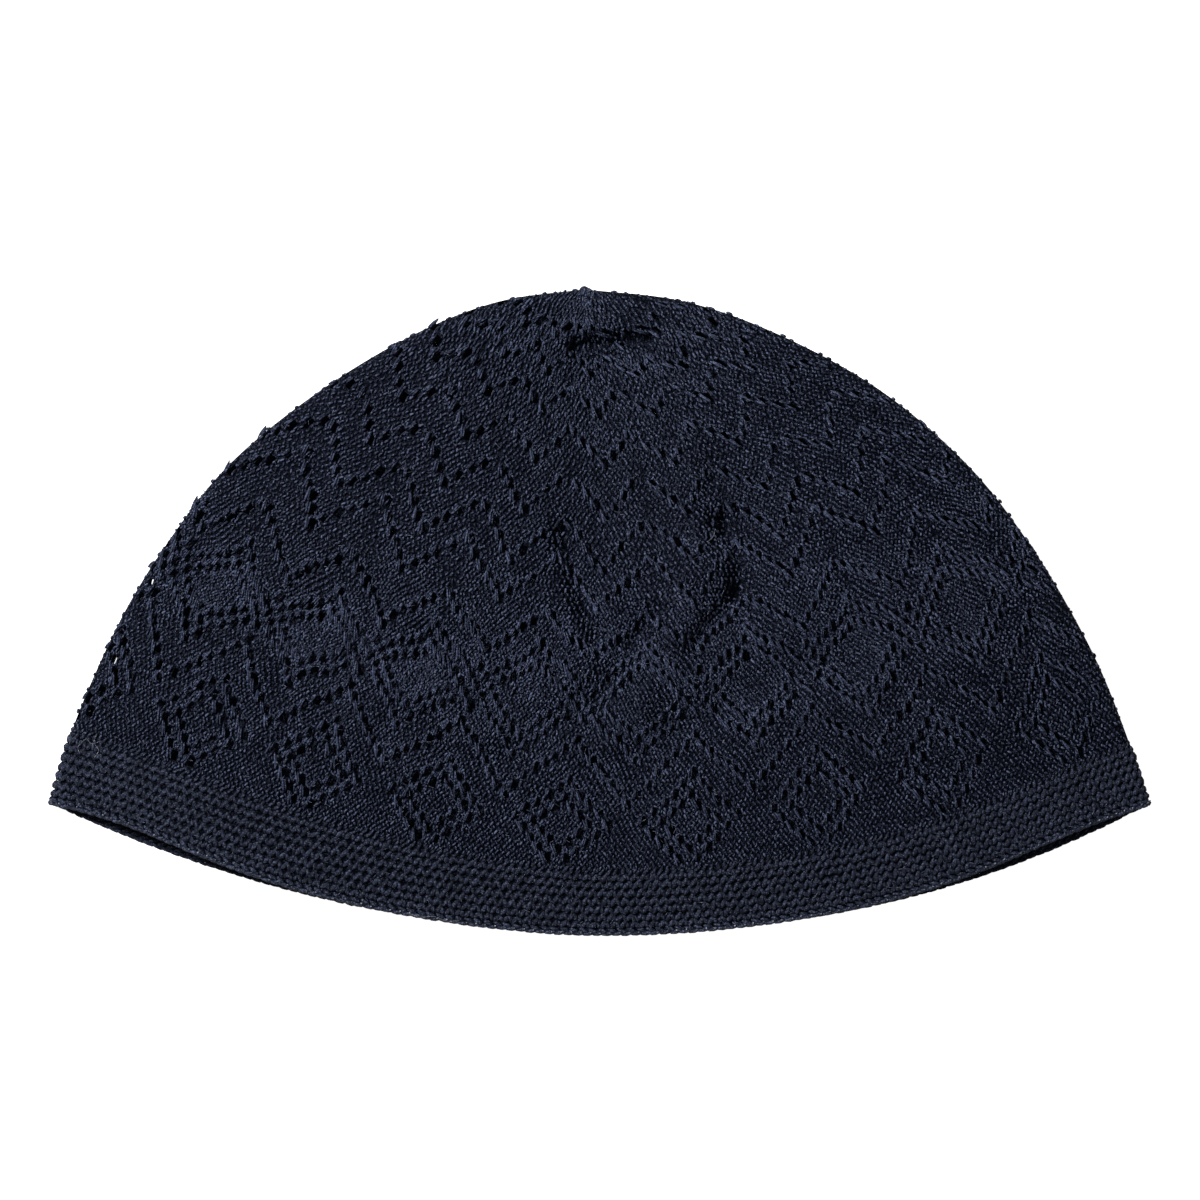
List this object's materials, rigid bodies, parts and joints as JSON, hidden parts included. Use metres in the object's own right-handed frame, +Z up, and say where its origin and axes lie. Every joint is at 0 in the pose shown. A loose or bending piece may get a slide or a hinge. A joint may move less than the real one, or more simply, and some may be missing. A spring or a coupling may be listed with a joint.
{
  "type": "knitted kufi",
  "caption": "Brimless lace-knit skull cap lying flat in two layers, with a plain knitted band, a chain edge and a drawn-up tip.",
  "frame": {"origin": "middle of the footprint, on the surface that the cap lies on", "axes": "+X from the left fold to the right fold, +Y from the mouth to the drawn-up tip, +Z up out of the surface"},
  "size_m": [0.2596, 0.1524, 0.0285],
  "materials": {
    "lace_knit": "fine matt navy yarn in lace stitches with rows of small eyelets",
    "band_knit": "matt navy yarn in dense, slightly thicker stitches",
    "edge_knit": "matt navy yarn in a rolled chain"
  },
  "bodies": {
    "root": {"crown": "lace_knit", "band": "band_knit", "edge_chain": "edge_knit", "tip_knot": "edge_knit"}
  },
  "joints": []
}
